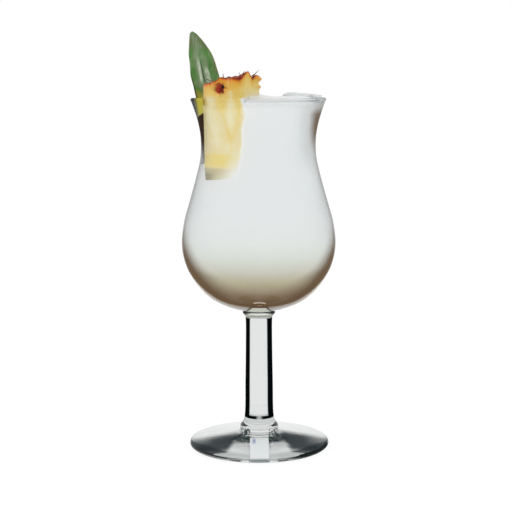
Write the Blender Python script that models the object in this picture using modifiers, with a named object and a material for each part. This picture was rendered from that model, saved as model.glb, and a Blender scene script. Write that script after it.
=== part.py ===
"""A pina colada in a footed hurricane glass, with a pineapple wedge, a leaf and a lump of ice.

Metres, +Z up. The origin is the centre of the foot, on the surface that it stands on.
Looked at along +Y, the wedge stands at the front left, the leaf behind it and the ice at the right.
"""

import math

import bmesh
import bpy
import numpy as np
from mathutils import noise

MM = 0.001
PART_NAME = "pina_colada"
GAP = 0.3 * MM
TURN_STEPS = 48

# The glass, in millimetres as (radius, height)
RIM_HEIGHT = 191.2
LIP_RADIUS = 1.0
LIP_CENTRE = (35.47, RIM_HEIGHT - LIP_RADIUS)
BOWL_OUTSIDE = [
    (35.37, 187.5), (32.95, 180.1), (31.37, 172.4), (30.99, 166.0),
    (31.47, 158.6), (33.75, 148.8), (37.45, 135.6), (40.5, 124.6),
    (41.95, 112.8), (40.65, 103.2), (37.35, 95.3), (32.35, 88.2),
    (26.1, 82.4), (19.75, 78.95), (12.75, 76.5), (6.3, 75.4),
]
COLLAR_OUTSIDE = [(5.7, 75.1), (6.2, 74.9), (8.3, 74.75), (8.95, 74.2), (8.55, 73.3), (7.55, 72.0)]
STEM_OUTSIDE = [(7.3, 70.5), (7.31, 54.0), (7.6, 35.0), (7.95, 17.0), (8.65, 13.4), (10.35, 10.9)]
STEP_OUTSIDE = [(10.6, 10.3), (10.6, 7.5), (11.15, 6.8), (12.75, 6.4)]
WALL_AT_LIP = 1.8
WALL_AT_FLOOR = 3.8
FLOOR_HEIGHT = 79.4
FLOOR_DISH_RADIUS = 11.0
WALL_THICKENS_BELOW = 105.0
FOOT_RADIUS = 38.55
FOOT_EDGE_RADIUS = 1.1
FOOT_RING_INSIDE = 30.0
FOOT_HOLLOW_HEIGHT = 2.2

# The drink
FROTH_AT_WALL = 189.4
FROTH_CROWN = 192.0
FROTH_FLATNESS = 4

# The wedge: plan corners as (x, y), then the height of each top corner
WEDGE_CORNERS_TOP = {"left": (-29.0, -13.0), "front": (-9.35, -29.0), "right": (2.3, -17.0), "back": (-19.0, -0.6)}
WEDGE_CORNERS_BASE = {"left": (-28.9, -11.2), "front": (-13.3, -28.5), "right": (-2.0, -17.1), "back": (-17.0, -2.2)}
WEDGE_TOP_HEIGHTS = {"left": 197.8, "front": 201.5, "right": 201.6, "back": 200.0}
WEDGE_BASE_HEIGHT = 149.5
WEDGE_BULGE = 6.0
WEDGE_CORNER_ROUNDING = 1.5
WEDGE_GRID = 13
WEDGE_LENGTH = 25.0
# Knobs and dents of the rind: place along the front, place to the back, height, width as a share
RIND_KNOBS = [
    (0.63, 0.0, 1.2, 0.08), (0.74, 0.08, 1.3, 0.14), (1.0, 0.0, -1.8, 0.09), (1.0, 0.33, 3.3, 0.19),
    (1.0, 0.8, 1.5, 0.2), (0.55, 0.6, 2.0, 0.2), (0.15, 0.6, 1.2, 0.18),
]
RIND_CRAG = 0.5
CRAG_SIZE = 2.2
RIND_FOOT = 193.5
RIND_FULL = 197.0
EYE_PLACE = (0.64, 196.0)
EYE_RADIUS = 2.6
EYE_DEPTH = 0.8

# The leaf: height, then x and y of its left and its right edge
LEAF_STATIONS = [
    (155.5, -29.25, -3.6, -28.85, -5.9),
    (166.0, -28.15, -3.0, -27.05, -8.0),
    (176.0, -29.25, -3.0, -28.15, -8.2),
    (183.0, -31.1, -2.8, -28.0, -6.6),
    (190.0, -33.0, -3.0, -22.3, 0.4),
    (196.0, -34.4, -3.0, -20.3, 2.2),
    (203.0, -36.0, -3.0, -20.9, 2.6),
    (209.0, -36.6, -2.6, -22.8, 2.6),
    (215.4, -37.0, -2.0, -25.2, 2.2),
    (221.8, -36.8, -1.2, -29.9, 1.2),
    (226.5, -36.2, -0.4, -34.0, 0.2),
]
LEAF_THICKNESS = 0.9
LEAF_CHANNEL = 1.3
LEAF_WAVE = 0.35
LEAF_WAVE_TURN = 0.55
LEAF_OPENS_FROM = 189.0
LEAF_OPEN_AT = 201.0
LEAF_ROWS = 24
LEAF_COLUMNS = 5

# The lump of ice: centre, half sizes and turn about Z
ICE_CENTRE = (24.8, -2.2, 186.2)
ICE_HALF_SIZE = (11.8, 9.4, 8.0)
ICE_TURN = math.radians(-12.0)
ICE_TOP_FALL = 0.08
ICE_SQUARENESS = 5.0
ICE_RELIEF = 0.5
ICE_LUMPS = 6.0
ICE_GRID = 7

# How far past its gap the room for a piece is cut, as a multiple of the gap
ROOM_GROWTH = 1.7
CAVITY_TOP = 240.0

FLAT_WITHIN = math.radians(1.2)

FINISHES = {
    "glass": ((0.86, 0.89, 0.88, 1.0), 0.03),
    "drink": ((0.82, 0.84, 0.82, 1.0), 0.35),
    "pineapple_wedge": ((0.83, 0.66, 0.28, 1.0), 0.45),
    "pineapple_leaf": ((0.16, 0.24, 0.09, 1.0), 0.55),
    "ice_chunk": ((0.72, 0.76, 0.77, 1.0), 0.1),
}


def clear_scene():
    for old in list(bpy.data.objects):
        bpy.data.objects.remove(old, do_unlink=True)


def new_collection(name):
    collection = bpy.data.collections.new(name)
    bpy.context.scene.collection.children.link(collection)
    return collection


def finish(name):
    """The Principled material of one piece."""
    colour, roughness = FINISHES[name]
    material = bpy.data.materials.new(name)
    material.use_nodes = True
    shader = material.node_tree.nodes["Principled BSDF"]
    shader.inputs["Base Color"].default_value = colour
    shader.inputs["Roughness"].default_value = roughness
    shader.inputs["Metallic"].default_value = 0.0
    return material


def add_piece(mesh, name, collection):
    piece = bpy.data.objects.new(name, mesh)
    mesh.materials.append(finish(name))
    collection.objects.link(piece)
    return piece


def add_cutter(mesh, name, collection):
    cutter = bpy.data.objects.new(name, mesh)
    cutter.hide_render = True
    cutter.display_type = "WIRE"
    collection.objects.link(cutter)
    return cutter


def smooth_through(points, per_span):
    """A Catmull-Rom curve through the points, with knots spaced by the root of each span."""
    knots = np.array(points, float)
    knots = np.vstack([2 * knots[0] - knots[1], knots, 2 * knots[-1] - knots[-2]])
    rows = []
    for k in range(1, len(knots) - 2):
        p0, p1, p2, p3 = knots[k - 1:k + 3]
        t1 = math.sqrt(np.linalg.norm(p1 - p0))
        t2 = t1 + math.sqrt(np.linalg.norm(p2 - p1))
        t3 = t2 + math.sqrt(np.linalg.norm(p3 - p2))
        t = np.linspace(t1, t2, per_span, endpoint=False)[:, None]
        a1 = (t1 - t) / t1 * p0 + t / t1 * p1
        a2 = (t2 - t) / (t2 - t1) * p1 + (t - t1) / (t2 - t1) * p2
        a3 = (t3 - t) / (t3 - t2) * p2 + (t - t2) / (t3 - t2) * p3
        b1 = (t2 - t) / t2 * a1 + t / t2 * a2
        b2 = (t3 - t) / (t3 - t1) * a2 + (t - t1) / (t3 - t1) * a3
        rows.append((t2 - t) / (t2 - t1) * b1 + (t - t1) / (t2 - t1) * b2)
    return np.vstack(rows + [knots[-2]])


def arc(centre, radius, start_degrees, end_degrees, count):
    angles = np.radians(np.linspace(start_degrees, end_degrees, count))
    return np.stack([centre[0] + radius * np.cos(angles), centre[1] + radius * np.sin(angles)], axis=1)


def bowl_inside(clearance, per_span):
    """The inner wall from the rim to the axis: the outside moved in by the wall's thickness."""
    outside = smooth_through(BOWL_OUTSIDE, per_span)
    outside = outside[outside[:, 0] > FLOOR_DISH_RADIUS]
    slope = np.gradient(outside, axis=0)
    inward = np.stack([slope[:, 1], -slope[:, 0]], axis=1)
    inward = inward / np.linalg.norm(inward, axis=1, keepdims=True)
    drop = np.clip((WALL_THICKENS_BELOW - outside[:, 1]) / (WALL_THICKENS_BELOW - FLOOR_HEIGHT), 0.0, 1.0)
    thickness = WALL_AT_LIP + (WALL_AT_FLOOR - WALL_AT_LIP) * drop * drop * (3 - 2 * drop) + clearance
    wall = outside + inward * thickness[:, None]
    share = np.array([0.66, 0.33, 0.0])
    floor = FLOOR_HEIGHT + clearance
    dish = np.stack([share * wall[-1, 0], floor + (wall[-1, 1] - floor) * share ** 2], axis=1)
    return np.vstack([wall, dish])


def glass_outline():
    """From the middle of the bowl's floor, up over the lip and down to the middle of the underside."""
    inside = bowl_inside(0.0, 1)[::-1]
    lip = arc(LIP_CENTRE, LIP_RADIUS, 180.0, -50.0, 7)
    outside = smooth_through(BOWL_OUTSIDE, 2)
    stem = smooth_through(COLLAR_OUTSIDE + STEM_OUTSIDE, 1)
    step = np.array(STEP_OUTSIDE)
    edge_centre = (FOOT_RADIUS - FOOT_EDGE_RADIUS, FOOT_EDGE_RADIUS)
    edge = arc(edge_centre, FOOT_EDGE_RADIUS, 80.0, -90.0, 5)
    hollow = np.array([
        (FOOT_RING_INSIDE, 0.0),
        (0.9 * FOOT_RING_INSIDE, 0.35 * FOOT_HOLLOW_HEIGHT),
        (0.45 * FOOT_RING_INSIDE, 0.85 * FOOT_HOLLOW_HEIGHT),
        (0.0, FOOT_HOLLOW_HEIGHT),
    ])
    return np.vstack([inside, lip, outside, stem, step, edge, hollow])


def drink_outline():
    """From the middle of the froth out to the wall, then down the wall to the middle of the floor."""
    wall = bowl_inside(GAP / MM, 1)
    wall = wall[wall[:, 1] < FROTH_AT_WALL - 1.0]
    top_radius = LIP_CENTRE[0] - LIP_RADIUS - GAP / MM - 0.1
    share = np.array([0.0, 0.3, 0.6, 0.85, 1.0])
    froth = np.stack([
        share * top_radius,
        FROTH_AT_WALL + (FROTH_CROWN - FROTH_AT_WALL) * (1 - share ** FROTH_FLATNESS),
    ], axis=1)
    return np.vstack([froth, wall])


def cavity_outline():
    """The room inside the bowl, carried straight up from the rim, that soft pieces are pressed into."""
    wall = bowl_inside(GAP / MM, 1)
    room_radius = LIP_CENTRE[0] - LIP_RADIUS - GAP / MM
    top = np.array([(0.0, CAVITY_TOP), (room_radius, CAVITY_TOP), (room_radius, LIP_CENTRE[1])])
    return np.vstack([top, wall])


def outline_mesh(name, outline):
    mesh = bpy.data.meshes.new(name)
    points = [(radius * MM, 0.0, height * MM) for radius, height in outline]
    edges = [(k, k + 1) for k in range(len(points) - 1)]
    mesh.from_pydata(points, edges, [])
    return mesh


def turn(piece):
    """Turns the outline of a piece about the Z axis."""
    screw = piece.modifiers.new("turned", "SCREW")
    screw.axis = "Z"
    screw.steps = TURN_STEPS
    screw.render_steps = TURN_STEPS
    screw.use_merge_vertices = True
    screw.merge_threshold = 0.00001
    screw.use_smooth_shade = True


def box_grid(cuts):
    """A unit cube with its faces cut into a grid, and its corners as an array of shares from 0 to 1."""
    bm = bmesh.new()
    bmesh.ops.create_cube(bm, size=1.0)
    bmesh.ops.subdivide_edges(bm, edges=bm.edges[:], cuts=cuts, use_grid_fill=True)
    shares = np.array([vertex.co[:] for vertex in bm.verts]) + 0.5
    return bm, shares


def mesh_from(bm, name, places):
    """Puts the corners at their places, in millimetres, and makes a mesh of triangles."""
    for vertex, place in zip(bm.verts, places):
        vertex.co = place * MM
    bmesh.ops.triangulate(bm, faces=bm.faces[:])
    bmesh.ops.recalc_face_normals(bm, faces=bm.faces[:])
    if bm.calc_volume(signed=True) < 0.0:
        bmesh.ops.reverse_faces(bm, faces=bm.faces[:])
    mesh = bpy.data.meshes.new(name)
    bm.to_mesh(mesh)
    bm.free()
    mesh.shade_smooth()
    return mesh


def between_corners(corners, along, across):
    """The place between four corners, at shares along the front and from the front to the back."""
    left, front, right, back = [np.atleast_1d(corners[key]) for key in ("left", "front", "right", "back")]
    front_line = left + (front - left) * along[:, None]
    back_line = back + (right - back) * along[:, None]
    return front_line + (back_line - front_line) * across[:, None]


def smooth_step(share):
    share = np.clip(share, 0.0, 1.0)
    return share * share * (3 - 2 * share)


def crag(places, scale, seed):
    """Seeded noise from -1 to 1 at each place."""
    return np.array([noise.noise((place[0] / scale + seed, place[1] / scale, place[2] / scale)) for place in places])


def wedge_mesh(name, relief):
    """A slab of pineapple, rind up, whose front swells to meet the wall of the glass."""
    bm, shares = box_grid(WEDGE_GRID)
    along, across, up = shares.T
    up = 1 - (1 - up) ** 1.5
    plan = between_corners(WEDGE_CORNERS_BASE, along, across)
    plan = plan + (between_corners(WEDGE_CORNERS_TOP, along, across) - plan) * up[:, None]
    along_centred = 2 * along - 1
    across_centred = 2 * across - 1
    corner = (np.abs(along_centred * across_centred)) ** 6
    middle = plan.mean(axis=0)
    to_middle = (middle - plan) / np.linalg.norm(middle - plan, axis=1, keepdims=True)
    plan = plan + to_middle * (WEDGE_CORNER_ROUNDING * corner)[:, None]
    swell = WEDGE_BULGE * (1 - across) ** 2 * (1 - along_centred ** 2)
    outward = plan / np.linalg.norm(plan, axis=1, keepdims=True)
    plan = plan + outward * swell[:, None]
    top = between_corners(WEDGE_TOP_HEIGHTS, along, across)[:, 0]
    edge = np.maximum(np.abs(along_centred), np.abs(across_centred)) ** 8
    base = WEDGE_BASE_HEIGHT + 2.0 * edge
    height = base + (top - base) * up
    places = np.column_stack([plan, height])
    if relief:
        rind = smooth_step((height - RIND_FOOT) / (RIND_FULL - RIND_FOOT))
        places[:, 2] += rind * RIND_CRAG * crag(places, CRAG_SIZE, 3.0)
        for knob_along, knob_across, knob_height, width in RIND_KNOBS:
            distance = (along - knob_along) ** 2 + (across - knob_across) ** 2
            places[:, 2] += rind * knob_height * np.exp(-distance / width ** 2)
        eye_distance = np.hypot((along - EYE_PLACE[0]) * WEDGE_LENGTH, height - EYE_PLACE[1])
        dent = EYE_DEPTH * np.exp(-(eye_distance / EYE_RADIUS) ** 4) * (across < 0.01)
        places[:, :2] -= outward * dent[:, None]
    return mesh_from(bm, name, places)


def leaf_mesh(name):
    """The middle surface of the leaf: straight across between its edges, bent into a shallow channel."""
    bm = bmesh.new()
    bmesh.ops.create_grid(bm, x_segments=LEAF_COLUMNS, y_segments=LEAF_ROWS, size=0.5)
    shares = np.array([vertex.co[:2] for vertex in bm.verts]) + 0.5
    across, along = shares.T
    stations = np.array(LEAF_STATIONS)
    heights = stations[0, 0] + (stations[-1, 0] - stations[0, 0]) * along
    left = np.column_stack([np.interp(heights, stations[:, 0], stations[:, k]) for k in (1, 2)])
    right = np.column_stack([np.interp(heights, stations[:, 0], stations[:, k]) for k in (3, 4)])
    width = np.linalg.norm(right - left, axis=1)
    backward = np.stack([left[:, 1] - right[:, 1], right[:, 0] - left[:, 0]], axis=1) / width[:, None]
    above_rim = smooth_step((heights - LEAF_OPENS_FROM) / (LEAF_OPEN_AT - LEAF_OPENS_FROM))
    channel = LEAF_CHANNEL * (1 - (2 * across - 1) ** 2) * width / width.max() * above_rim
    wave = LEAF_WAVE * np.sin(LEAF_WAVE_TURN * heights + 2.0 * across) * (2 * across - 1) * above_rim
    plan = left + (right - left) * across[:, None] + backward * (channel + wave)[:, None]
    places = np.column_stack([plan, heights])
    return mesh_from(bm, name, places)


def thicken(piece):
    wall = piece.modifiers.new("leaf_thickness", "SOLIDIFY")
    wall.thickness = LEAF_THICKNESS * MM
    wall.offset = 0.0


def ice_mesh(name):
    """A lump between a box and a ball: the corner powers add up to one, with a slanting top."""
    bm, shares = box_grid(ICE_GRID)
    centred = 2 * shares - 1
    power_sum = (np.abs(centred) ** ICE_SQUARENESS).sum(axis=1) ** (1 / ICE_SQUARENESS)
    lump = centred / power_sum[:, None] * np.array(ICE_HALF_SIZE)
    lump = lump * (1 + ICE_RELIEF / ICE_HALF_SIZE[0] * crag(lump, ICE_LUMPS, 8.0))[:, None]
    cosine, sine = math.cos(ICE_TURN), math.sin(ICE_TURN)
    turned = np.column_stack([
        cosine * lump[:, 0] - sine * lump[:, 1],
        sine * lump[:, 0] + cosine * lump[:, 1],
        lump[:, 2],
    ])
    turned[:, 2] -= ICE_TOP_FALL * turned[:, 0]
    return mesh_from(bm, name, turned + np.array(ICE_CENTRE))


def grow(cutter):
    """Swells a cutter, so that the piece it makes room for keeps its gap."""
    swelling = cutter.modifiers.new("grown", "DISPLACE")
    swelling.mid_level = 0.0
    swelling.strength = ROOM_GROWTH * GAP


def shape_with(piece, other, operation):
    cut = piece.modifiers.new(operation.lower() + "_" + other.name, "BOOLEAN")
    cut.operation = operation
    cut.object = other


def merge_flat_faces(piece):
    """Joins the faces of a flat stretch into one."""
    flatten = piece.modifiers.new("flat_faces", "DECIMATE")
    flatten.decimate_type = "DISSOLVE"
    flatten.angle_limit = FLAT_WITHIN


def build():
    clear_scene()
    parts = new_collection(PART_NAME)
    cutters = new_collection("cutters")

    glass = add_piece(outline_mesh("glass", glass_outline()), "glass", parts)
    turn(glass)

    cavity = add_cutter(outline_mesh("cavity", cavity_outline()), "cavity", cutters)
    turn(cavity)

    wedge = add_piece(wedge_mesh("pineapple_wedge", True), "pineapple_wedge", parts)
    shape_with(wedge, cavity, "INTERSECT")
    merge_flat_faces(wedge)

    leaf = add_piece(leaf_mesh("pineapple_leaf"), "pineapple_leaf", parts)
    thicken(leaf)

    ice = add_piece(ice_mesh("ice_chunk"), "ice_chunk", parts)
    shape_with(ice, cavity, "INTERSECT")

    drink = add_piece(outline_mesh("drink", drink_outline()), "drink", parts)
    turn(drink)
    wedge_room = add_cutter(wedge_mesh("wedge_room", False), "wedge_room", cutters)
    leaf_room = add_cutter(leaf_mesh("leaf_room"), "leaf_room", cutters)
    thicken(leaf_room)
    ice_room = add_cutter(ice_mesh("ice_room"), "ice_room", cutters)
    for room in (wedge_room, leaf_room, ice_room):
        grow(room)
        shape_with(drink, room, "DIFFERENCE")
    merge_flat_faces(drink)


build()
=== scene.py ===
# %% [markdown]
# # A pina colada, dressed
#
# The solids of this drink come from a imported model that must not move. This script gives them their looks.
# It works in metres, with Z up, and the glass stands on the floor with its axis on the Z axis.
# Looked at along +Y, the pineapple wedge is at the left and the lump of ice at the right.

import math

import bpy
import numpy as np
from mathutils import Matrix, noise


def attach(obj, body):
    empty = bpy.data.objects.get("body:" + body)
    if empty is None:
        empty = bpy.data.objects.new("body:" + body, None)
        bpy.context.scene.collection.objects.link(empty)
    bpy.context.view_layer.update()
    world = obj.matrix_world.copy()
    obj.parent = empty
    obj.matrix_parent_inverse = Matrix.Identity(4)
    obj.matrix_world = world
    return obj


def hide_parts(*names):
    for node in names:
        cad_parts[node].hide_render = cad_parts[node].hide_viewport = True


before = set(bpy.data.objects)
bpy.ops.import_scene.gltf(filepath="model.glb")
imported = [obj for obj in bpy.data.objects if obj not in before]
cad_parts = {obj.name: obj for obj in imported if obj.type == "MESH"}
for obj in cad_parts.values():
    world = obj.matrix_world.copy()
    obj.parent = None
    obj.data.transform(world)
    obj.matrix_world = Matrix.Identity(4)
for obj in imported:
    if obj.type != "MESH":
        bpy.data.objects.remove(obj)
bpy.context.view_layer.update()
MM = 0.001

# %% [markdown]
# ## The camera
#
# A photograph fixes where the camera stood. The rim is seen almost edge-on, so the camera is a little
# higher than the rim; the foot is seen as an ellipse, and how round that ellipse looks gives the distance.
# A long lens looking slightly down is enough, and no lens shift is needed.

# %% Camera
CAMERA_PLACE = (-0.0012, -0.661, 0.196)
CAMERA_TILT_DOWN = math.radians(7.815)
CAMERA_ROLL = math.radians(0.19)
CAMERA_LENS = 85.7
CAMERA_SENSOR = 36.0
CAMERA_NEAR = 0.01
CAMERA_FAR = 50.0

camera_data = bpy.data.cameras.new("camera")
camera_data.lens = CAMERA_LENS
camera_data.sensor_width = CAMERA_SENSOR
camera_data.clip_start = CAMERA_NEAR
camera_data.clip_end = CAMERA_FAR
camera = bpy.data.objects.new("camera", camera_data)
camera.location = CAMERA_PLACE
camera.rotation_euler = (math.radians(90.0) - CAMERA_TILT_DOWN, CAMERA_ROLL, 0.0)
bpy.context.scene.collection.objects.link(camera)
bpy.context.scene.camera = camera
print("camera distance in mm:", round(-CAMERA_PLACE[1] / MM))

# %% [markdown]
# ## A skin of rings
#
# Every piece of this drink can be described as a stack of rings between two end points: a turned glass,
# a drink, a slab of fruit, a leaf that is a very flat tube, a dry bract. So one helper makes them all.
# The rings are rows of a grid of points. Each end row has shrunk to one point, so the two poles are
# closed by triangles, and the last column joins the first, so there is no seam. The rings run from the
# top down on the outer side and turn anticlockwise seen from above, so the faces look outwards.

# %% Skin of rings
def skin(name, rings):
    """A closed mesh from an array of rings, shape (rings, points, 3), in metres.

    Quads join ring k to ring k + 1 and point j to point j + 1. The first and the last ring are each
    one point, joined to their neighbour by a fan of triangles.
    """
    count, around = rings.shape[0] - 2, rings.shape[1]
    points = np.vstack([rings[0, :1], rings[1:-1].reshape(-1, 3), rings[-1, :1]])
    here = 1 + np.arange(count)[:, None] * around + np.arange(around)[None, :]
    after = np.roll(here, -1, axis=1)
    quads = np.stack([here[:-1], here[1:], after[1:], after[:-1]], axis=-1).reshape(-1, 4)
    top_fan = np.stack([np.zeros(around, int), here[0], after[0]], axis=-1)
    end_fan = np.stack([here[-1], np.full(around, len(points) - 1), after[-1]], axis=-1)
    corners = np.concatenate([top_fan.ravel(), quads.ravel(), end_fan.ravel()])
    sizes = np.concatenate([np.full(around, 3), np.full(len(quads), 4), np.full(around, 3)])
    mesh = bpy.data.meshes.new(name)
    mesh.vertices.add(len(points))
    mesh.vertices.foreach_set("co", points.ravel())
    mesh.loops.add(len(corners))
    mesh.loops.foreach_set("vertex_index", corners)
    mesh.polygons.add(len(sizes))
    mesh.polygons.foreach_set("loop_start", np.concatenate([[0], np.cumsum(sizes)[:-1]]))
    mesh.update(calc_edges=True)
    mesh.shade_smooth()
    piece = bpy.data.objects.new(name, mesh)
    bpy.context.scene.collection.objects.link(piece)
    print(name, "faces:", len(sizes))
    return piece


def paint(piece, name, values):
    """Stores one number for each point of the rings as an attribute that a material can read."""
    flat = np.concatenate([values[0, :1], values[1:-1].ravel(), values[-1, :1]])
    layer = piece.data.attributes.new(name, "FLOAT", "POINT")
    layer.data.foreach_set("value", flat.astype(np.float32))


def smooth_step(low, high, values):
    """Rises from 0 at low to 1 at high along 3t^2 - 2t^3."""
    share = np.clip((values - low) / (high - low), 0.0, 1.0)
    return share * share * (3 - 2 * share)


def crags(points, size, seed):
    """Seeded noise from -1 to 1 for an array of points in millimetres, with lumps of about that size."""
    flat = points.reshape(-1, 3) / size + seed
    return np.array([noise.noise(place) for place in flat]).reshape(points.shape[:-1])


print("a quarter of the way, a smooth step is at:", smooth_step(0.0, 1.0, 0.25))

# %% [markdown]
# ## Shader maths written as Python
#
# A finish is a graph of nodes. Written node by node it is hard to read, so a small class wraps a socket
# and lets plus, minus and times add the Math nodes.

# %% Sockets with arithmetic
class Flow:
    """A socket of a node tree that arithmetic can be written with."""

    def __init__(self, tree, socket):
        self.tree = tree
        self.socket = socket

    def math(self, operation, *values):
        return Finish.add(self.tree, "ShaderNodeMath", {"operation": operation}, values)[0]

    def __add__(self, other):
        return self.math("ADD", self, other)

    __radd__ = __add__

    def __sub__(self, other):
        return self.math("SUBTRACT", self, other)

    def __rsub__(self, other):
        return self.math("SUBTRACT", other, self)

    def __mul__(self, other):
        return self.math("MULTIPLY", self, other)

    __rmul__ = __mul__

    def __truediv__(self, other):
        return self.math("DIVIDE", self, other)

    def __pow__(self, other):
        return self.math("POWER", self, other)

    def __abs__(self):
        return self.math("ABSOLUTE", self)

    def step(self, low, high):
        """0 below low, 1 above high and a smooth rise between them; low may be above high."""
        settings = {"interpolation_type": "SMOOTHSTEP"}
        if low < high:
            return Finish.add(self.tree, "ShaderNodeMapRange", settings, (self, low, high, 0.0, 1.0))[0]
        return Finish.add(self.tree, "ShaderNodeMapRange", settings, (self, high, low, 1.0, 0.0))[0]


print("made the class Flow, for sockets")

# %% [markdown]
# A second class holds a material. Any other node comes from its one method add: the node's type, its
# settings, which can change its sockets and so come first, then the values or links of the sockets.

# %% Materials
class Finish:
    """A material with one Principled shader, and the nodes that feed it."""

    def __init__(self, name, **shader_values):
        self.material = bpy.data.materials.new(name)
        self.material.use_nodes = True
        self.tree = self.material.node_tree
        self.shader = self.tree.nodes["Principled BSDF"]
        self.output = self.tree.nodes["Material Output"]
        self.set(**shader_values)

    def set(self, **values):
        """Sets or links sockets of the Principled shader: base_color is Base Color."""
        for name, value in values.items():
            words = ["IOR" if word == "ior" else word.capitalize() for word in name.split("_")]
            Finish.plug(self.tree, self.shader.inputs[" ".join(words)], value)

    @staticmethod
    def plug(tree, socket, value):
        if isinstance(value, Flow):
            tree.links.new(value.socket, socket)
        else:
            socket.default_value = value

    @staticmethod
    def add(tree, kind, settings=(), values=()):
        """Adds a node: its settings first, then the values or links of its sockets by name or by order."""
        node = tree.nodes.new(kind)
        for name, value in dict(settings).items():
            setattr(node, name, value)
        pairs = values.items() if isinstance(values, dict) else enumerate(values)
        for key, value in pairs:
            Finish.plug(tree, node.inputs[key], value)
        return [Flow(tree, socket) for socket in node.outputs]

    def node(self, kind, settings=(), values=()):
        return Finish.add(self.tree, kind, settings, values)

    def place(self):
        """The x, y and z of the surface in the piece's own frame, in metres."""
        coordinates = self.node("ShaderNodeTexCoord")[3]
        return self.node("ShaderNodeSeparateXYZ", values=(coordinates,))

    def attribute(self, name):
        return self.node("ShaderNodeAttribute", {"attribute_name": name})[2]

    def facing(self):
        """0 where the surface is seen straight on, 1 at its edge."""
        return self.node("ShaderNodeLayerWeight", values={"Blend": 0.5})[1]

    def grain(self, size, detail=2.0, stretch=(1.0, 1.0, 1.0)):
        """Noise from 0 to 1 with lumps of about that size in metres, stretched along the axes."""
        coordinates = self.node("ShaderNodeTexCoord")[3]
        scale = tuple(1.0 / (size * pull) for pull in stretch)
        mapped = self.node("ShaderNodeMapping", values={"Vector": coordinates, "Scale": scale})[0]
        return self.node("ShaderNodeTexNoise", values={"Vector": mapped, "Scale": 1.0, "Detail": detail})[0]

    def blend(self, amount, first, second):
        """A colour between two colours."""
        return self.node("ShaderNodeMix", {"data_type": "RGBA"}, {0: amount, 6: first, 7: second})[2]

    def over(self, ground, layers):
        """The colour when layers of (amount, colour) are laid over a ground colour, one by one."""
        for amount, tone in layers:
            ground = self.blend(amount, ground, tone)
        return ground

    def ramp(self, amount, stops):
        """A colour read from stops of (place, colour) by a number from 0 to 1."""
        reading = self.node("ShaderNodeValToRGB", values=(amount,))[0]
        elements = reading.socket.node.color_ramp.elements
        elements[0].position, elements[0].color = stops[0]
        elements[1].position, elements[1].color = stops[-1]
        for position, stop_colour in stops[1:-1]:
            elements.new(position).color = stop_colour
        return reading

    def bump(self, height, strength, distance):
        values = {"Strength": strength, "Distance": distance, "Height": height}
        self.set(normal=self.node("ShaderNodeBump", values=values)[0])

    def cover(self, piece):
        """Gives the finish to a piece."""
        piece.data.materials.append(self.material)
        print(piece.name, "is covered with", self.material.name + ", nodes:", len(self.tree.nodes))


def colour(red, green, blue):
    """A colour as a screen shows it, from 0 to 255, turned into the linear light that shaders use."""
    linear = [((c / 255 + 0.055) / 1.055) ** 2.4 if c > 10 else c / 3294.6 for c in (red, green, blue)]
    return (*linear, 1.0)


print("a screen's middle grey as linear light:", round(colour(128, 128, 128)[0], 3))

# %% [markdown]
# ## The bowl's curve
#
# The whole glass is one curve turned about the Z axis. The outside of the bowl was measured at sixteen
# places, and a smooth curve runs through them. The inside follows from it, moved in by the wall's
# thickness, which grows towards the floor of the bowl as it does in pressed glass.

# %% Outline of the glass
RIM_HEIGHT = 191.2
LIP_RADIUS = 1.0
LIP_CENTRE = (35.47, RIM_HEIGHT - LIP_RADIUS)
BOWL_OUTSIDE = [
    (35.37, 187.5), (32.95, 180.1), (31.37, 172.4), (30.99, 166.0),
    (31.47, 158.6), (33.75, 148.8), (37.45, 135.6), (40.5, 124.6),
    (41.95, 112.8), (40.65, 103.2), (37.35, 95.3), (32.35, 88.2),
    (26.1, 82.4), (19.75, 78.95), (12.75, 76.5), (6.3, 75.4),
]
COLLAR_OUTSIDE = [(5.7, 75.1), (6.2, 74.9), (8.3, 74.75), (8.95, 74.2), (8.55, 73.3), (7.55, 72.0)]
STEM_OUTSIDE = [(7.3, 70.5), (7.31, 54.0), (7.6, 35.0), (7.95, 17.0), (8.65, 13.4), (10.35, 10.9)]
STEP_OUTSIDE = [(10.6, 10.3), (10.6, 7.5), (11.15, 6.8), (12.75, 6.4)]
WALL_AT_LIP = 1.8
WALL_AT_FLOOR = 3.8
FLOOR_HEIGHT = 79.4
WALL_THICKENS_BELOW = 105.0
FOOT_RADIUS = 38.55
FOOT_EDGE_RADIUS = 1.1
FOOT_RING_INSIDE = 30.0
FOOT_HOLLOW_HEIGHT = 2.2
print("bowl, collar, stem and step, points in all:",
      len(BOWL_OUTSIDE + COLLAR_OUTSIDE + STEM_OUTSIDE + STEP_OUTSIDE))

# %% [markdown]
# A curve through a few points could be a Bezier curve, with handles set by hand. A Catmull-Rom curve needs
# no handles: each stretch is a blend of the four points nearest to it, and it runs through all of them.
# The inside, the arcs and the turning about Z take a few lines of array maths each.

# %% Curves and turning
SPAN_POINTS = 8
AROUND = 192


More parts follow.
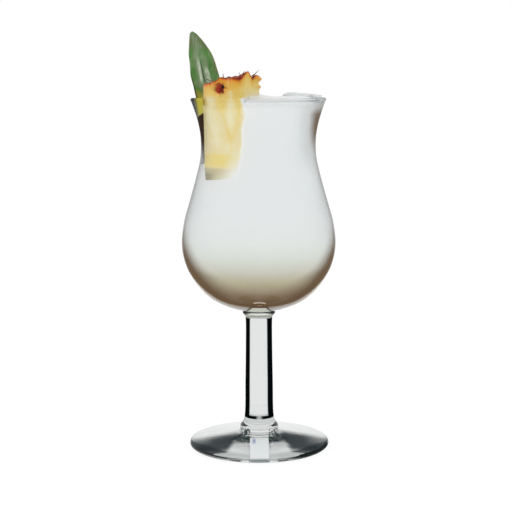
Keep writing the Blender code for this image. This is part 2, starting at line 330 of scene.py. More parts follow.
def smooth_through(points, per_span):
    """A Catmull-Rom curve through the points, with knots spaced by the root of each span."""
    knots = np.array(points, float)
    knots = np.vstack([2 * knots[0] - knots[1], knots, 2 * knots[-1] - knots[-2]])
    rows = []
    for k in range(1, len(knots) - 2):
        p0, p1, p2, p3 = knots[k - 1:k + 3]
        t1 = math.sqrt(np.linalg.norm(p1 - p0))
        t2 = t1 + math.sqrt(np.linalg.norm(p2 - p1))
        t3 = t2 + math.sqrt(np.linalg.norm(p3 - p2))
        t = np.linspace(t1, t2, per_span, endpoint=False)[:, None]
        a1 = (t1 - t) / t1 * p0 + t / t1 * p1
        a2 = (t2 - t) / (t2 - t1) * p1 + (t - t1) / (t2 - t1) * p2
        a3 = (t3 - t) / (t3 - t2) * p2 + (t - t2) / (t3 - t2) * p3
        b1 = (t2 - t) / t2 * a1 + t / t2 * a2
        b2 = (t3 - t) / (t3 - t1) * a2 + (t - t1) / (t3 - t1) * a3
        rows.append((t2 - t) / (t2 - t1) * b1 + (t - t1) / (t2 - t1) * b2)
    return np.vstack(rows + [knots[-2]])


def arc(centre, radius, start_degrees, end_degrees, count):
    """Points on a circle, from one angle to another."""
    angles = np.radians(np.linspace(start_degrees, end_degrees, count))
    return np.stack([centre[0] + radius * np.cos(angles), centre[1] + radius * np.sin(angles)], axis=1)


def bowl_inside(clearance):
    """The inner wall from under the lip to the axis: the outside moved in by the wall's thickness.

    Each point moves along the curve's inward normal. The last stretch is a shallow dish, whose height
    grows with the square of the distance from the axis.
    """
    outside = smooth_through(BOWL_OUTSIDE, SPAN_POINTS)
    outside = outside[outside[:, 0] > 11.0]
    slope = np.gradient(outside, axis=0)
    inward = np.stack([slope[:, 1], -slope[:, 0]], axis=1)
    inward = inward / np.linalg.norm(inward, axis=1, keepdims=True)
    share_down = (WALL_THICKENS_BELOW - outside[:, 1]) / (WALL_THICKENS_BELOW - FLOOR_HEIGHT)
    thickness = WALL_AT_LIP + (WALL_AT_FLOOR - WALL_AT_LIP) * smooth_step(0.0, 1.0, share_down)
    wall = outside + inward * (thickness + clearance)[:, None]
    share = np.linspace(1.0, 0.0, 2 * SPAN_POINTS)[1:]
    floor = FLOOR_HEIGHT + clearance
    dish = np.stack([share * wall[-1, 0], floor + (wall[-1, 1] - floor) * share ** 2], axis=1)
    return np.vstack([wall, dish])


def turned(outline, around=AROUND):
    """Rings in metres from an outline of (radius, height) rows in millimetres, turned about Z."""
    angles = np.linspace(0.0, 2 * math.pi, around, endpoint=False)
    radius = outline[:, :1]
    height = np.repeat(outline[:, 1:], around, axis=1)
    return np.stack([radius * np.cos(angles), radius * np.sin(angles), height], axis=-1) * MM


print("points on the curve of the bowl's outside:", len(smooth_through(BOWL_OUTSIDE, SPAN_POINTS)))

# %% [markdown]
# ## The glass
#
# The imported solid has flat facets, and light that bends through facets shows every one of them. So the
# glass is turned again from the same curve with many more rings, and the faceted node is hidden.
# Making it from the same numbers keeps it exactly where the solid is.

# %% Glass surface
inside = bowl_inside(0.0)[::-1]
lip = arc(LIP_CENTRE, LIP_RADIUS, 180.0, -50.0, 22)
outside = smooth_through(BOWL_OUTSIDE, SPAN_POINTS)
stem = smooth_through(COLLAR_OUTSIDE + STEM_OUTSIDE + STEP_OUTSIDE, 7)
edge_centre = (FOOT_RADIUS - FOOT_EDGE_RADIUS, FOOT_EDGE_RADIUS)
foot_edge = arc(edge_centre, FOOT_EDGE_RADIUS, 80.0, -90.0, 14)
foot_top = np.linspace(stem[-1], foot_edge[0], 14)[1:-1]
ring_share = np.linspace(1.0, 0.0, 18)
foot_under = np.stack([
    FOOT_RING_INSIDE * ring_share,
    FOOT_HOLLOW_HEIGHT * (1 - ring_share ** 2),
], axis=1)
glass_outline = np.vstack([inside, lip, outside, stem, foot_top, foot_edge, foot_under])
glass = skin("glass_surface", turned(glass_outline))
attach(glass, "root")
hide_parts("glass")

# %% [markdown]
# ## Clear glass and its dark edges
#
# Clear glass on white is drawn by its dark edges: near an outline, light from the sides of the studio is
# bent into view, and the sides of a studio are dark. A plain white world has no dark sides. Black cards
# beside the glass would give them, but the cards would show in every other view. So the shader asks how
# obliquely the surface is seen and tints the clear glass grey there, a painted reflection of those dark
# sides. The lip is nearly transparent instead, because froth that is bent through so tight a curve flares
# white.

# %% Glass finish
CLEAR = colour(249, 251, 251)
CLEAR_THICK = colour(223, 226, 225)
EDGE_GREY = colour(20, 26, 26)
LIP_CLEARNESS = 0.94

glass_finish = Finish("clear_glass", roughness=0.0, transmission_weight=1.0, ior=1.47)
x, y, z = [axis / MM for axis in glass_finish.place()]
aside = abs(x)
facing = glass_finish.facing()
on_bowl = z.step(76.0, 78.0)
high_bowl = z.step(92.0, 120.0)
on_stem = z.step(15.6, 16.4) * z.step(71.9, 71.4)
on_foot = z.step(7.0, 6.2)
edge_amount = 2.0 * facing ** 3.2 * (1 - on_foot) * (high_bowl + (1 - on_bowl) * 0.8)
edge_amount = edge_amount.math("MINIMUM", edge_amount, 1.0)
clear_colour = glass_finish.blend(1 - on_bowl, CLEAR, CLEAR_THICK)
glass_finish.set(base_color=glass_finish.blend(edge_amount, clear_colour, EDGE_GREY))
on_lip = z.step(186.4, 188.0) * x.step(-34.5, -32.5) * x.step(34.0, 27.0)
glass_finish.set(alpha=1 - LIP_CLEARNESS * on_lip)
print("clear glass, index of refraction:", round(glass_finish.shader.inputs["IOR"].default_value, 2))

# %% [markdown]
# ## Painted reflections and shade on the glass
#
# The tint alone is too soft for thick glass. So dull shades are laid over the clear glass: painted
# reflections of a studio's dark sides, painted light and painted shade, and beside the fruit also pictures
# of what stands behind the wall. Each is an amount from 0 to 1, worked out in millimetres from the place on
# the glass, with a colour of its own. They wait in one list and are laid on together at the end. The camera
# looks along +Y, so a shade that belongs to the side that faces it is limited by y.
# The first ones are painted reflections: the black band at either side of the solid stem, the black line
# at the stem's foot and the fine outline of the bowl. Then comes the brown of the low bowl, a painted
# shade, which leaves the clear neck free.

# %% Shades of the stem and the bowl
SHADE_BLACK = colour(6, 9, 11)
SHADE_BROWN = colour(100, 78, 54)

near_half = y.step(-0.5, -2.5)
near_side = y.step(2.0, -2.0)
stem_band = (facing + 0.006 * x).step(0.225, 0.285) * on_stem
stem_foot = z.step(17.5, 17.1) * z.step(15.3, 15.7) * near_side * (0.4 + 0.6 * aside.step(0.4, 2.2))
outline_band = facing.step(0.80, 0.97) * 0.5 * (1 - on_foot) * high_bowl
raised = facing + 0.0125 * (98.0 - z)
brown_start = raised.math("MINIMUM", raised, facing).step(0.25, 0.64)
brown_end = raised.math("MAXIMUM", raised, facing).step(0.95, 0.82)
neck_across = aside + 0.8 * (z - 80.5)
in_neck = z.step(80.9, 80.1) * neck_across.step(4.9, 4.1) * near_side
low_bowl_shade = brown_start * brown_end * z.step(130.0, 106.0) * on_bowl * 0.94 * (1 - in_neck)
shades = [
    (stem_band, SHADE_BLACK),
    (stem_foot, SHADE_BLACK),
    (outline_band, SHADE_BLACK),
    (low_bowl_shade, SHADE_BROWN),
]
print("shades of the stem and the bowl:", len(shades))

# %% [markdown]
# The wall bends what stands close behind it near the outline, and there the foot of the leaf would be a
# grey smear. So the leaf's yellow foot, its dark end and the edge of the fruit are laid on the wall just
# where they stand behind it. The wall left of them is darkened by a painted shade, and the right side gets
# a painted brown shade with a soft painted grey shade.

# %% Shades beside the fruit
SHADE_WALL = colour(36, 39, 36)
SHADE_LEAF_EDGE = colour(84, 84, 44)
SHADE_LEAF = colour(196, 184, 70)
SHADE_TAIL = colour(46, 30, 15)
SHADE_FRUIT_EDGE = colour(216, 206, 148)
SHADE_SIDE = colour(84, 88, 86)

right_side_shade = x.step(24.0, 30.5) * z.step(158.0, 176.0) * z.step(188.0, 182.0) * facing.step(0.2, 0.75)
leaf_left = x + 0.15 * (z - 187.5)
left_wall_shade = leaf_left.step(-32.9, -33.7) * z.step(179.0, 181.5) * near_half
tail_top = (z - 0.7 * (x + 29.4)).step(183.7, 182.9)
tail_shade = x.step(-28.4, -28.9) * tail_top * z.step(156.0, 170.0) * near_half
leaf_shade = leaf_left.step(-33.9, -33.3) * x.step(-28.5, -29.1) * (1 - tail_top) * near_half
leaf_shade = leaf_shade * z.step(180.0, 181.0)
leaf_tone = glass_finish.blend(leaf_left.step(-33.3, -31.3), SHADE_LEAF_EDGE, SHADE_LEAF)
fruit_edge = x.step(-27.6, -28.2) * x.step(-29.2, -28.8) * near_half
fruit_edge = fruit_edge * z.step(156.0, 168.0) * z.step(188.5, 187.0)
side_shade = x.step(16.0, 27.0) * z.step(150.0, 166.0) * z.step(190.0, 185.0)
shades += [
    (right_side_shade * 0.85, SHADE_BROWN),
    (left_wall_shade * 0.85, SHADE_WALL),
    (leaf_shade * 0.8, leaf_tone),
    (tail_shade * 0.94, SHADE_TAIL),
    (fruit_edge * 0.7, SHADE_FRUIT_EDGE),
    (side_shade * 0.10, SHADE_SIDE),
]
print("with those beside the fruit:", len(shades))

# %% [markdown]
# Under the bowl the solid neck is a clear lens of painted light with sides of painted shade, over a collar
# whose ends get a painted grey shade and whose underside a painted olive reflection. Two pale crescents
# above it, painted as well, are the edge of the bowl's floor, seen through it.

# %% Shades of the neck and the collar
neck = in_neck * z.step(74.7, 75.0)
neck_side = neck * neck_across.step(2.4, 3.6)
collar_under = z.step(73.9, 73.6) * z.step(72.7, 73.0) * aside.step(8.0, 6.5) * near_side
collar_end = z.step(73.4, 73.8) * z.step(75.2, 74.8) * aside.step(5.5, 7.6)
crescent_side = y.step(0.0, -5.0)
crescent = abs(z - 84.3 + 0.05 * x * x).step(0.65, 0.15) * abs(x - 0.3).step(4.0, 2.8) * crescent_side
low_crescent = abs(z - 82.4).step(0.5, 0.1) * abs(x - 0.4).step(2.1, 1.1) * crescent_side
shades += [
    (neck * 0.85, colour(214, 217, 205)),
    (neck_side * 0.9, colour(104, 104, 96)),
    (collar_under * 0.6, colour(168, 172, 136)),
    (collar_end * 0.7, colour(88, 86, 92)),
    (crescent * 0.97, colour(206, 194, 176)),
    (low_crescent * 0.97, colour(158, 140, 118)),
]
print("with the neck and the collar:", len(shades))

# %% [markdown]
# The lip gets a thin pale grey band of painted shade right of the fruit. Towards the ice it gets a fine
# broken line of painted shade below and above, which is noise in the amount of the shade.

# %% Shades of the lip
lip_front = x.step(-8.5, -6.0) * x.step(34.6, 33.6) * y.step(0.0, -4.0)
lip_band = z.step(188.7, 189.3) * lip_front
lip_speck = glass_finish.grain(0.003, 2.0).step(0.38, 0.55)
lip_line = abs(z - 189.6).step(0.40, 0.10) * lip_front * x.step(14.0, 28.0) * (0.15 + 0.5 * lip_speck)
lip_top = z.step(190.7, 191.0) * lip_front * x.step(18.0, 29.0) * (0.2 + 0.45 * lip_speck)
shades += [
    (lip_band * 0.24, colour(202, 207, 208)),
    (lip_line, colour(104, 108, 116)),
    (lip_top, colour(112, 116, 124)),
]
print("with the lip:", len(shades))

# %% [markdown]
# The foot gets painted reflections of the dark sides of a studio: two slate-grey pools, left and right of
# a window of painted light that the stem's clear core throws to the front, with a painted blue glint in it.
# The pools end short of the front, in a streaky line, before a pale band of painted light. A dark rim of
# painted reflection closes the foot at either side, and the step round the stem is full of small dark
# specks of painted reflection.

# %% Shades of the foot
SHADE_SLATE = colour(42, 50, 54)
SHADE_WINDOW = colour(242, 247, 248)
SHADE_BLUE = colour(72, 100, 190)
FOOT_EDGE_FROM = 37.6

foot_face = on_foot * z.step(1.85, 2.1)
streak = glass_finish.grain(0.004, 3.0, (5.0, 1.0, 1.0))
slate_end = y + 12.0 * aside.step(12.5, 18.5) + 11.5 + 1.5 * x.step(8.0, -8.0) + 9.0 * (streak - 0.5)
before_slate_end = slate_end.step(-8.0, 4.0)
slate = (y - 3.0 * x.step(-5.0, 12.0) + 3.0 * (streak - 0.5)).step(4.0, -8.0)
slate = slate * before_slate_end * aside.step(3.5, 9.5) * foot_face
slate = slate * (0.97 - 0.30 * aside.step(23.0, 36.0) * y.step(-20.0, -8.0) - 0.07 * streak)
front_pale = y.step(-25.5, -29.0) * (1 - before_slate_end) * foot_face * (0.6 + 0.3 * streak)
edge_x, edge_y = x / FOOT_EDGE_FROM, y / FOOT_EDGE_FROM
from_axis = edge_x * edge_x + edge_y * edge_y
foot_rim = from_axis.step(0.955, 0.985) * y.step(-3.0, -9.0) * aside.step(13.0, 24.0) * on_foot
foot_rim = foot_rim * (0.5 + 0.4 * x.step(-4.0, 4.0))
ring_zone = z.step(4.4, 5.0) * z.step(10.6, 10.2) * y.step(-3.0, -7.0) * aside.step(4.6, 5.4)
ring_zone = ring_zone * aside.step(13.4, 12.0) * from_axis.step(0.27, 0.22)
ring_specks = glass_finish.grain(0.0017, 2.0).step(0.46, 0.56) * ring_zone
ring_mix = glass_finish.grain(0.0021, 1.0).step(0.4, 0.6)
ring_tone = glass_finish.blend(ring_mix, colour(30, 42, 54), colour(92, 112, 104))
window = aside.step(5.3, 4.9) * y.step(-11.5, -12.3) * y.step(-37.5, -36.8) * on_foot
blue_flash = abs(x + 2.9).step(1.5, 0.3) * abs(y + 16.5).step(4.6, 0.8)
window_tone = glass_finish.blend(blue_flash * 0.6, SHADE_WINDOW, SHADE_BLUE)
shades += [
    (slate, SHADE_SLATE),
    (front_pale, colour(216, 221, 220)),
    (foot_rim, colour(16, 26, 24)),
    (ring_specks * 0.96, ring_tone),
    (window * 0.93, window_tone),
]
print("with the foot:", len(shades))

# %% [markdown]
# Where two shades meet, the stronger one gives the colour, and the amount is the larger of the two. The
# shades go to a second, dull shader, and a Mix Shader lays it over the clear glass by that amount.

# %% Laying the shades on
shade_amount, shade_colour = shades[0]
for amount, tone in shades[1:]:
    shade_colour = glass_finish.blend((amount - shade_amount).step(-0.05, 0.05), shade_colour, tone)
    shade_amount = shade_amount.math("MAXIMUM", shade_amount, amount)
dull_values = {"Base Color": shade_colour, "Roughness": 0.5, "Specular IOR Level": 0.0}
dull = glass_finish.node("ShaderNodeBsdfPrincipled", values=dull_values)[0]
clear = Flow(glass_finish.tree, glass_finish.shader.outputs[0])
laid = glass_finish.node("ShaderNodeMixShader", values=(shade_amount, clear, dull))[0]
Finish.plug(glass_finish.tree, glass_finish.output.inputs[0], laid)
glass_finish.cover(glass)

# %% [markdown]
# ## The wall that the fruit leans on
#
# The fruit, the leaf, the ice and the drink all have to know where the inner wall is. The wall's curve
# is there already, so its radius at any height is read from it by linear interpolation.
# A gap of air behind glass shows as a silver skin, so what touches the wall reaches a little into it,
# and the piece that is seen in front reaches furthest.

# %% Inner wall
FRUIT_INTO_WALL = 0.3
LEAF_INTO_WALL = 0.45
DRINK_INTO_WALL = 0.15
WALL_FROM = 81.0

wall_curve = bowl_inside(0.0)[::-1]
wall_top = (LIP_CENTRE[0] - LIP_RADIUS, LIP_CENTRE[1])
wall_line = np.vstack([wall_curve[wall_curve[:, 1] > WALL_FROM], [wall_top]])


def wall_radius(heights):
    """The inner wall's radius in millimetres at each height."""
    return np.interp(heights, wall_line[:, 1], wall_line[:, 0])


print("inner wall at 170 mm, radius in mm:", round(float(wall_radius(170.0)), 2))

# %% [markdown]
# ## The wedge of pineapple
#
# The wedge is a slab cut from a slice: rind on top, flesh below, pushed down between the drink and the
# wall of the glass. It could be a box with bevels, but the rind needs knobs and the face has to bend with
# the wall. So it is a stack of rings from the middle of the top over the sides to the middle of the base.
# Each ring is a square with rounded corners, laid between four corners that shift from top to base.

# %% Wedge corners
WEDGE_CORNERS_TOP = {
    "left": (-29.0, -13.0), "front": (-9.35, -29.0), "right": (2.3, -17.0), "back": (-19.0, -0.6),
}
WEDGE_CORNERS_BASE = {
    "left": (-28.9, -11.2), "front": (-13.3, -28.5), "right": (-2.0, -17.1), "back": (-17.0, -2.2),
}
WEDGE_TOP_HEIGHTS = {"left": 197.8, "front": 201.5, "right": 201.6, "back": 200.0}
WEDGE_BASE_HEIGHT = 149.5
WEDGE_LEFT_HANGS = 2.0
ROUNDNESS = 9.0


def between_corners(corners, along, across):
    """The place between four corners: along runs left to front, across runs from them to back and right."""
    left, front, right, back = [np.atleast_1d(corners[key]) for key in ("left", "front", "right", "back")]
    front_line = left + (front - left) * along[..., None]
    back_line = back + (right - back) * along[..., None]
    return front_line + (back_line - front_line) * across[..., None]


def square_ring(count):
    """Points round a square with sides from -1 to 1, anticlockwise, pulled in to rounded corners.

    A point is divided by the nth root of the sum of the nth powers of its coordinates.
    """
    place = np.linspace(0.0, 4.0, count, endpoint=False)
    side = place.astype(int)
    share = 2 * (place - side) - 1
    first = np.select([side == 0, side == 1, side == 2], [share, 1.0, -share], -1.0)
    second = np.select([side == 0, side == 1, side == 2], [-1.0, share, 1.0], -share)
    pull = (np.abs(first) ** ROUNDNESS + np.abs(second) ** ROUNDNESS) ** (-1 / ROUNDNESS)
    return first * pull, second * pull


print("wedge, from base to top in mm:", WEDGE_BASE_HEIGHT, "to", max(WEDGE_TOP_HEIGHTS.values()))

# %% [markdown]
# The grid has two parameters: the place in the stack and the place round the ring. From them come three
# shares for every point: along the front face, across from front to back, and up from base to top.

# %% Wedge grid
WEDGE_AROUND = 360
CAP_RINGS = 44
SIDE_RINGS = 120
BASE_RINGS = 16

first, second = square_ring(WEDGE_AROUND)
side_up = 1 - np.linspace(0.0, 1.0, SIDE_RINGS + 1)[1:] ** 1.3
cap_reach, base_reach = np.linspace(0.0, 1.0, CAP_RINGS), np.linspace(1.0, 0.0, BASE_RINGS)[1:]
reach = np.concatenate([cap_reach, np.ones(SIDE_RINGS), base_reach])[:, None]
up = np.concatenate([np.ones(CAP_RINGS), side_up, np.zeros(BASE_RINGS - 1)])[:, None]
along = (first[None, :] * reach + 1) / 2
across = (second[None, :] * reach + 1) / 2

top = between_corners(WEDGE_TOP_HEIGHTS, along, across)[..., 0]
base = WEDGE_BASE_HEIGHT - WEDGE_LEFT_HANGS * (1 - along) * (1 - across) + 0.6 * reach ** 8
heights = base + (top - base) * up
plan_base = between_corners(WEDGE_CORNERS_BASE, along, across)
plan = plan_base + (between_corners(WEDGE_CORNERS_TOP, along, across) - plan_base) * up[..., None]
print("wedge grid:", heights.shape)

# %% [markdown]
# The rind is knobbly, because each eye of a pineapple is a bump with a dry leaflet. The large knobs and
# dips are bell curves in along and across. Two sizes of noise roughen them, and the right corner, which
# is seen in outline against the white, gets a row of bumps.

# %% Rind
RIND_KNOBS = [
    (0.0, 0.0, -3.4, 0.075), (0.63, 0.0, 1.2, 0.05), (0.74, 0.08, 1.3, 0.14),
    (1.0, 0.0, -2.4, 0.045), (1.0, 0.33, 3.4, 0.17), (1.0, 0.56, -0.8, 0.05),
    (1.0, 0.8, 1.5, 0.2), (0.55, 0.6, 2.0, 0.2), (0.15, 0.6, 1.2, 0.18),
]
SIDE_BUMP_TOP = 200.9
SIDE_BUMP_SPACING = 4.1

knobs = np.zeros_like(heights)
for knob_along, knob_across, knob_height, width in RIND_KNOBS:
    knobs += knob_height * np.exp(-((along - knob_along) ** 2 + (across - knob_across) ** 2) / width ** 2)
rind = smooth_step(193.5, 197.0, heights)
places = np.concatenate([plan, heights[..., None]], axis=-1)
relief = 0.5 * crags(places, 2.2, 3.0) + 0.3 * crags(places, 0.9, 11.0)
flesh_relief = 0.12 * crags(places * np.array([1.0, 1.0, 0.25]), 1.2, 5.0)
heights = heights + rind * (knobs + relief)
at_right_corner = smooth_step(0.8, 1.0, along) * smooth_step(0.55, 0.95, across) * rind
side_wave = np.cos(2 * math.pi * (heights - SIDE_BUMP_TOP) / SIDE_BUMP_SPACING)
plan = plan + (0.8 * side_wave * at_right_corner)[..., None] * np.array([1.0, 0.0])
print("rind, highest knob in mm:", round(float(heights.max()), 1))

# %% [markdown]
# In the bowl the front face is pressed flat against the wall, so every point of that face moves along its
# own radius until it is in the wall. Where the slab turns away from the wall, the drink gets between
# them, and a film of it hides the fruit. The left edge is turned a little about the axis, more or less
# with the height, so that it looks straight through the waisted wall.

# %% Wedge against the wall
WEDGE_BULGE = 6.0
FILM_DEPTH = 3.5
FILM_RECESS = 0.1
PRESS_HEIGHTS = [149.5, 155.0, 166.0, 176.0, 183.0, 190.0]
PRESS_TURN = [12.0, 6.0, -4.5, -3.5, 5.0, 10.0]

distance = np.linalg.norm(plan, axis=-1)
outward = plan / distance[..., None]
unpressed = distance + WEDGE_BULGE * (1 - across) ** 2 * (1 - (2 * along - 1) ** 2)
wall = wall_radius(heights)
in_bowl = smooth_step(192.6, 190.6, heights)
film_from = 2.4 + 4.1 * smooth_step(174.0, 184.0, heights)
film = np.clip((wall - unpressed - film_from) / FILM_DEPTH, 0.0, 1.0)
shown_face = (across < 0.62) & (film < 1.0) & (reach > 0.9)
at_wall = wall + FRUIT_INTO_WALL - FILM_RECESS * film
held = np.where(shown_face, at_wall, np.minimum(unpressed, wall + FRUIT_INTO_WALL))
pressed = unpressed + (held - unpressed) * in_bowl + flesh_relief * (1 - in_bowl)
turn = np.radians(np.interp(heights, PRESS_HEIGHTS, PRESS_TURN)) * in_bowl * (1 - along) ** 1.5
cosine, sine = np.cos(turn), np.sin(turn)
turned_out = np.stack([
    cosine * outward[..., 0] - sine * outward[..., 1],
    sine * outward[..., 0] + cosine * outward[..., 1],
], axis=-1)
places = np.concatenate([turned_out * pressed[..., None], heights[..., None]], axis=-1)
wedge = skin("pineapple_wedge_cut", places * MM)
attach(wedge, "root")
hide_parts("pineapple_wedge")

# %% [markdown]
# ## Patterns painted on the wedge
#
# The fruit has marks that no noise gives: a dark eye in the rind, two amber streaks that meet in a V, pale
# cores beside them and a golden band; its base gets a painted shadow. A hand-painted picture would do, but
# a number for each point is enough. Each pattern is worked out on the grid and kept as an attribute. A
# streak is a line through a few points: a point of the grid gets a bell curve of its distance to the
# nearest piece.

# %% Streaks
face_x = places[..., 0]


def near_line(points, width):
    """1 on a line through points of (x, height) in millimetres on the front face, fading over the width."""
    here = places[..., (0, 2)]
    closest = np.zeros_like(heights)
    for start, end in zip(np.array(points)[:-1], np.array(points)[1:]):
        run = end - start
        share = np.clip((here - start) @ run / (run @ run), 0.0, 1.0)
        gap = here - start - share[..., None] * run
        closest = np.maximum(closest, np.exp(-(gap ** 2).sum(axis=-1) / width ** 2))
    return closest * (across < 0.3)


def strongest(streaks):
    """The largest of several streaks, each given as its strength, its points and its width."""
    return np.max([strength * near_line(points, width) for strength, points, width in streaks], axis=0)


amber = strongest([
    (1.0, [(-20.6, 192.0), (-19.9, 188.2), (-17.7, 181.0), (-15.7, 175.0), (-14.2, 170.0)], 0.8),
    (1.0, [(-8.6, 192.0), (-9.2, 186.0), (-10.5, 178.0), (-13.2, 171.0)], 1.4),
    (0.6, [(-27.4, 181.0), (-23.6, 171.0)], 0.6),
    (1.0, [(-19.4, 194.6), (-19.2, 192.3)], 0.7),
])
gold = strongest([
    (1.0, [(-19.6, 193.5), (-18.6, 187.5)], 2.4),
    (1.0, [(-9.6, 194.5), (-9.0, 186.5)], 2.2),
    (0.4, [(-14.9, 173.5), (-14.0, 169.0)], 2.0),
    (0.8, [(-26.0, 195.5), (-24.0, 193.5)], 2.0),
])
cream = strongest([
    (1.0, [(-24.8, 190.0), (-23.6, 180.0), (-21.0, 168.0)], 2.6),
    (1.0, [(-14.2, 189.0), (-14.4, 177.0)], 1.7),
    (0.8, [(-3.4, 194.5), (-2.6, 190.5)], 3.2),
    (0.6, [(-14.4, 194.0), (-14.2, 190.0)], 1.2),
    (0.7, [(-15.4, 166.5), (-13.8, 157.0)], 2.6),
])
print("streaks, share of the wedge in amber:", round(float(amber.mean()), 3))

# %% [markdown]
# The rind's marks are read from the distance to the eye's centre and to two notches at the top's edge.
# The depth below the top sets how far the flesh has turned from orange to cream.

# %% Marks of the rind
EYE_CENTRE = (-19.6, 196.1)
EYE_CORE = (-17.9, 197.1)
EYE_HALF = 2.6
NOTCHES = [(0.02, 1.2, 1.8), (0.56, 1.0, 1.2)]

front_face = across < 0.2
depth = np.maximum(top - base - (top - base) * up, 0.0)
eye_power = np.abs(face_x - EYE_CENTRE[0]) ** 1.6 + np.abs(heights - EYE_CENTRE[1]) ** 1.6
eye_spread = eye_power ** 0.625 + 1.2 * crags(places, 1.5, 21.0)
eye = smooth_step(EYE_HALF + 0.8, EYE_HALF - 0.4, eye_spread) * front_face
eye_halo = 0.5 * smooth_step(EYE_HALF + 2.6, EYE_HALF + 0.4, eye_spread) * front_face
eye_core = np.exp(-((face_x - EYE_CORE[0]) ** 2 + (heights - EYE_CORE[1]) ** 2) / 1.6) * front_face
notch = np.zeros_like(heights)
for notch_across, spread, fall in NOTCHES:
    to_notch = ((along - 1.0) * 24.0) ** 2 + ((across - notch_across) * 14.0) ** 2
    notch = np.maximum(notch, np.exp(-to_notch / spread - (depth / fall) ** 2))
left_line = smooth_step(0.05, 0.0, along) * smooth_step(0.5, 0.2, across)
left_line = left_line * smooth_step(160.0, 168.0, heights)
side_crust = at_right_corner * smooth_step(0.3, 0.9, side_wave)
crust = np.max([side_crust, eye_halo, left_line], axis=0)
ripe = 1 + smooth_step(-12.0, -4.0, face_x)
print("eye, share of the wedge:", round(float(eye.mean()), 4))

# %% [markdown]
# Near the base the flesh has a golden band, then a painted shadow that fades to the right into the drink.
# The film of drink is as strong as the slab is far from the wall, and it also creeps up the right face.

# %% Base, film and painting
DEPTH_UNIT = 50.0

band = smooth_step(153.8, 156.5, heights) * smooth_step(163.0, 161.0, heights)
band = band * (0.5 + 0.5 * smooth_step(-12.0, -20.0, face_x))
shadow = smooth_step(155.4, 153.6, heights) * (0.4 + 0.6 * smooth_step(-13.0, -25.0, face_x))
fade_from = face_x + 12.3 - 0.8 * (heights - 156.3)
fade = smooth_step(-8.0, 8.0, fade_from) * smooth_step(171.0, 164.0, heights)
film_front = np.where(shown_face, film, 0.0) * in_bowl
over_froth = smooth_step(0.9, 0.99, along) * smooth_step(0.0, 0.1, across) * smooth_step(-6.5, -3.5, face_x)
over_froth = over_froth * smooth_step(194.0, 190.5, heights) * smooth_step(187.5, 189.5, heights)
milk = np.clip(np.maximum(film_front, over_froth), 0.0, 1.0)
paints = {
    "depth": depth / DEPTH_UNIT * ripe, "eye": eye, "eye_core": eye_core, "notch": notch,
    "amber": amber, "gold": gold, "cream": cream, "band": band,
    "milk": milk, "crust": crust, "shadow": shadow, "fade": fade,
}
for name, values in paints.items():
    paint(wedge, name, values)
print("painted on the wedge:", ", ".join(paints))

# %% [markdown]
# ## Bracts
#
# A few dry bracts stand out of the rind. Each is a bent cone: rings along a curved path, ending in a point.
# The path is a curve between two points that a third one pulls aside, and each ring stands square to it.

# %% Bracts
BRACTS = [
    ((-27.2, -17.6, 201.0), (-25.6, -20.5, 200.6), (-24.0, -20.8, 199.6), 0.32),
    ((-16.5, -27.6, 200.4), (-16.2, -28.6, 202.0), (-14.6, -28.9, 202.6), 0.36),
    ((-3.4, -22.8, 202.6), (-1.4, -21.4, 203.4), (0.6, -19.6, 206.2), 0.38),
    ((-8.2, -26.6, 203.4), (-7.4, -26.8, 204.6), (-6.3, -26.4, 205.4), 0.26),
    ((-10.0, -14.0, 201.4), (-9.0, -13.0, 203.6), (-10.5, -12.0, 204.8), 0.34),
    ((-18.0, -9.0, 201.6), (-19.0, -8.0, 203.2), (-18.4, -6.5, 204.4), 0.3),
]
BRACT_RINGS = 24
BRACT_AROUND = 14

bract_step = np.linspace(0.0, 1.0, BRACT_RINGS)[:, None, None]
bract_angle = np.linspace(0.0, 2 * math.pi, BRACT_AROUND, endpoint=False)[None, :, None]
bract_finish = Finish("bract", base_color=colour(92, 66, 40), roughness=0.6)
for number, (foot_point, bend, tip, thick) in enumerate(BRACTS):
    start, middle, end = np.array(foot_point), np.array(bend), np.array(tip)
    before = 1 - bract_step
    path = before ** 2 * end + 2 * bract_step * before * middle + bract_step ** 2 * start
    direction = 2 * before * (middle - end) + 2 * bract_step * (start - middle)
    direction = direction / np.linalg.norm(direction, axis=-1, keepdims=True)
    sideways = np.cross(direction, np.array([0.31, 0.2, 0.1]))
    sideways = sideways / np.linalg.norm(sideways, axis=-1, keepdims=True)
    other = np.cross(direction, sideways)
    girth = thick * np.minimum(bract_step, 0.8) ** 0.7 * (1 - smooth_step(0.93, 1.0, bract_step))
    ring = path + girth * (np.cos(bract_angle) * sideways + np.sin(bract_angle) * other)
    bract = skin("bract_%d" % number, ring * MM)
    bract_finish.cover(bract)
    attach(bract, "root")

# %% [markdown]
# ## Flesh, rind and the film of drink
#
# The flesh runs from orange under the rind through gold to cream, so its colour is read from a ramp by
# the depth below the rind. Fibres are noise stretched downwards. The painted patterns are then laid over
# it one by one. Wet flesh lets light through, so behind the glass it also glows a little in its own
# colour, painted light in place of that; a true scatter of light would take far longer to render.

# %% Wedge finish
MILK = colour(231, 233, 233)
GLOW = 0.33
GLOW_FROM = 190.4
GLOW_FULL = 184.4
NO_GLOW = (0.0, 0.0, 0.0, 1.0)
FLESH_STOPS = [
    (0.0, colour(126, 36, 10)), (0.012, colour(184, 80, 18)), (0.03, colour(214, 136, 34)),
    (0.06, colour(214, 160, 58)), (0.12, colour(216, 178, 84)), (0.19, colour(220, 190, 104)),
    (0.27, colour(223, 204, 138)), (0.36, colour(224, 212, 168)), (1.0, colour(224, 210, 166)),
]

